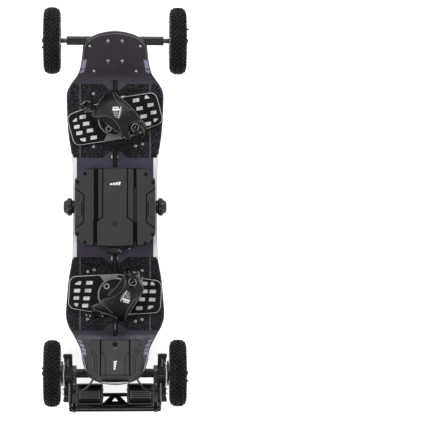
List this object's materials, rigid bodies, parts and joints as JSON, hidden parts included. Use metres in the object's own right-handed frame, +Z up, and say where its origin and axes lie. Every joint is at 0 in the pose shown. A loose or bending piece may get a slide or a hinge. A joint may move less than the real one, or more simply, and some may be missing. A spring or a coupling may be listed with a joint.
{
  "type": "electric skateboard",
  "caption": "All-terrain electric skateboard with kicked deck, tilting trucks, pneumatic tyres, belt-driven motors, battery box and foot bindings.",
  "frame": {"origin": "on the ground under the middle of the overall length and width", "axes": "+X to the rider's right when facing the nose, +Y towards the nose, +Z up"},
  "size_m": [0.426, 1.214, 0.2273],
  "materials": {
    "deck": "printed dark purple-grey laminate with a satin lacquer",
    "grip": "coarse black grit sheet",
    "case": "dark grey moulded case, fine matte texture",
    "black_plastic": "black moulded plastic",
    "tyre": "black knobbly rubber",
    "rim": "black moulded hub",
    "steel": "zinc-plated steel",
    "hanger": "black powder coat",
    "mount": "black anodised aluminium",
    "pulley": "machined silver aluminium",
    "shock": "orange urethane block",
    "vamp": "black padded synthetic with stitched edges",
    "foot_pad": "black moulded foam",
    "disc": "grey anodised ring",
    "windings": "copper windings on steel laminations",
    "circuit_board": "green circuit board",
    "cells": "blue shrink-wrapped cells",
    "lead": "glossy black cable sleeve",
    "motor": "black motor shell"
  },
  "bodies": {
    "board": {"deck": "deck", "front_grip": "grip", "rear_grip": "grip", "battery_tray": "case", "battery_lid": "case", "battery_pack": "cells", "battery_plug": "black_plastic", "esc_cover": "case", "esc_board": "circuit_board", "front_truck_base": "hanger", "front_pivot_bolt": "steel", "front_shock_left": "shock", "front_shock_right": "shock", "rear_truck_base": "hanger", "rear_pivot_bolt": "steel", "rear_shock_left": "shock", "rear_shock_right": "shock", "left_motor_cable": "lead", "right_motor_cable": "lead", "front_binding_base": "black_plastic", "front_foot_pad": "foot_pad", "front_binding_disc": "disc", "front_vamp": "vamp", "rear_binding_base": "black_plastic", "rear_foot_pad": "foot_pad", "rear_binding_disc": "disc", "rear_vamp": "vamp"},
    "battery_knob_left": {"battery_knob_left": "black_plastic"},
    "battery_knob_right": {"battery_knob_right": "black_plastic"},
    "power_button": {"power_button": "black_plastic"},
    "front_hanger": {"front_hanger": "hanger", "front_axle": "steel"},
    "rear_hanger": {"rear_hanger": "hanger", "rear_axle": "steel", "left_motor_mount": "mount", "right_motor_mount": "mount", "left_belt_case": "case", "right_belt_case": "case", "left_drive_belt": "tyre", "right_drive_belt": "tyre", "left_motor_stator": "windings", "right_motor_stator": "windings", "guard_frame": "hanger", "guard_brace": "hanger"},
    "front_wheel_left": {"front_tyre_left": "tyre", "front_rim_left": "rim"},
    "front_wheel_right": {"front_tyre_right": "tyre", "front_rim_right": "rim"},
    "rear_wheel_left": {"rear_tyre_left": "tyre", "rear_rim_left": "rim", "left_wheel_pulley": "pulley"},
    "rear_wheel_right": {"rear_tyre_right": "tyre", "rear_rim_right": "rim", "right_wheel_pulley": "pulley"},
    "left_motor": {"left_motor_can": "motor", "left_motor_pulley": "steel"},
    "right_motor": {"right_motor_can": "motor", "right_motor_pulley": "steel"},
    "front_ratchet": {"front_ratchet_lever": "black_plastic"},
    "rear_ratchet": {"rear_ratchet_lever": "black_plastic"}
  },
  "joints": [
    {"name": "front_steer", "type": "hinge", "parent": "board", "child": "front_hanger", "pos_m": [0, 0.48835, 0.1229], "axis": [0, 0.8192, 0.5736], "range_deg": [-15, 15], "stiffness_Nm_per_rad": 80, "deforming": ["front_shock_left", "front_shock_right"]},
    {"name": "rear_steer", "type": "hinge", "parent": "board", "child": "rear_hanger", "pos_m": [0, -0.47035, 0.1229], "axis": [0, -0.8192, 0.5736], "range_deg": [-15, 15], "stiffness_Nm_per_rad": 80, "deforming": ["rear_shock_left", "rear_shock_right", "left_motor_cable", "right_motor_cable"]},
    {"name": "front_wheel_left_spin", "type": "hinge", "parent": "front_hanger", "child": "front_wheel_left", "pos_m": [-0.188, 0.507, 0.1], "axis": [1, 0, 0], "continuous": true},
    {"name": "front_wheel_right_spin", "type": "hinge", "parent": "front_hanger", "child": "front_wheel_right", "pos_m": [0.188, 0.507, 0.1], "axis": [1, 0, 0], "continuous": true},
    {"name": "rear_wheel_left_spin", "type": "hinge", "parent": "rear_hanger", "child": "rear_wheel_left", "pos_m": [-0.188, -0.489, 0.1], "axis": [1, 0, 0], "continuous": true},
    {"name": "rear_wheel_right_spin", "type": "hinge", "parent": "rear_hanger", "child": "rear_wheel_right", "pos_m": [0.188, -0.489, 0.1], "axis": [1, 0, 0], "continuous": true},
    {"name": "left_motor_spin", "type": "hinge", "parent": "rear_hanger", "child": "left_motor", "pos_m": [-0.074, -0.551, 0.1], "axis": [1, 0, 0], "continuous": true},
    {"name": "right_motor_spin", "type": "hinge", "parent": "rear_hanger", "child": "right_motor", "pos_m": [0.074, -0.551, 0.1], "axis": [1, 0, 0], "continuous": true},
    {"name": "battery_knob_left_turn", "type": "hinge", "parent": "board", "child": "battery_knob_left", "pos_m": [-0.1203, 0.009, 0.15], "axis": [1, 0, 0], "range_deg": [0, 90]},
    {"name": "battery_knob_right_turn", "type": "hinge", "parent": "board", "child": "battery_knob_right", "pos_m": [0.1203, 0.009, 0.15], "axis": [1, 0, 0], "range_deg": [0, 90]},
    {"name": "power_button_press", "type": "slide", "parent": "board", "child": "power_button", "axis": [0, -0.5736, -0.8192], "range_m": [0, 0.0015], "stiffness_N_per_m": 600},
    {"name": "front_ratchet_lift", "type": "hinge", "parent": "board", "child": "front_ratchet", "pos_m": [0.06375, 0.22435, 0.17635], "axis": [0.9659, 0.2588, 0], "range_deg": [0, 75], "stiffness_Nm_per_rad": 0.3},
    {"name": "rear_ratchet_lift", "type": "hinge", "parent": "board", "child": "rear_ratchet", "pos_m": [0.05245, -0.19314, 0.17635], "axis": [-0.9986, 0.0523, 0], "range_deg": [0, 75], "stiffness_Nm_per_rad": 0.3}
  ],
  "couplings": [
    {"joint": "left_motor_spin", "follows": "rear_wheel_left_spin", "ratio": 4},
    {"joint": "right_motor_spin", "follows": "rear_wheel_right_spin", "ratio": 4}
  ]
}
